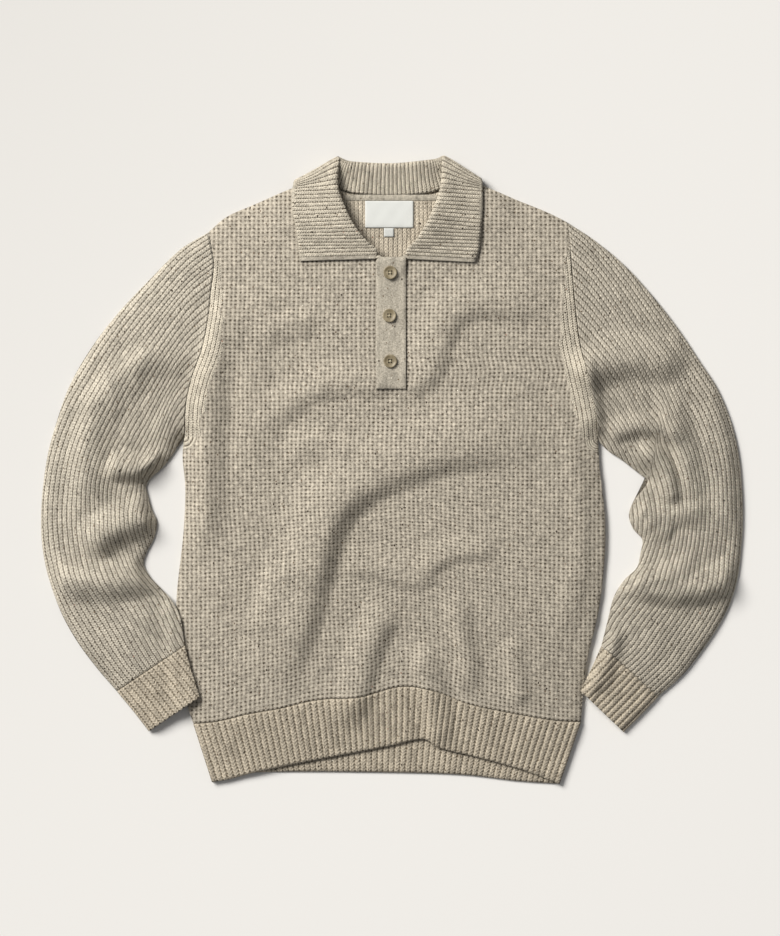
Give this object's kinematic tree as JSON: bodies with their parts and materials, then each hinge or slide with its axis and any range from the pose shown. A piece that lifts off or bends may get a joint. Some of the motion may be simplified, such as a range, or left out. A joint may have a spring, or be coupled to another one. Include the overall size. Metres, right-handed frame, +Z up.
{
  "type": "polo sweater",
  "caption": "Knitted long-sleeved polo sweater laid flat, front up, with an open ribbed collar, buttoned placket, curved sleeves and wide ribbed hem and cuffs",
  "frame": {"origin": "bottom centre of the sweater's box, on the surface that it lies on", "axes": "+X is the wearer's left, +Y runs from the hem to the collar, +Z is up, the front faces up"},
  "size_m": [0.788, 0.7044, 0.0309],
  "materials": {
    "waffle_knit": "thick waffle knit of oatmeal tweed wool",
    "sleeve_rib": "half cardigan rib of oatmeal tweed wool",
    "wide_rib": "wide firm rib of oatmeal tweed wool",
    "collar_rib": "narrow rib of oatmeal tweed wool",
    "placket_knit": "smooth milled fine knit",
    "button_horn": "horn-look polyester, polished, olive brown",
    "label_weave": "plain white woven ribbon",
    "neck_tape": "fine ribbed tape"
  },
  "bodies": {
    "root": {"front": "waffle_knit", "back": "waffle_knit", "hem_front": "wide_rib", "hem_back": "wide_rib", "sleeve_left": "sleeve_rib", "sleeve_right": "sleeve_rib", "cuff_left": "wide_rib", "cuff_right": "wide_rib", "collar": "collar_rib", "neck_tape": "neck_tape", "placket": "placket_knit", "placket_under": "placket_knit", "button_1": "button_horn", "button_2": "button_horn", "button_3": "button_horn", "label": "label_weave", "size_tab": "label_weave"}
  },
  "joints": []
}
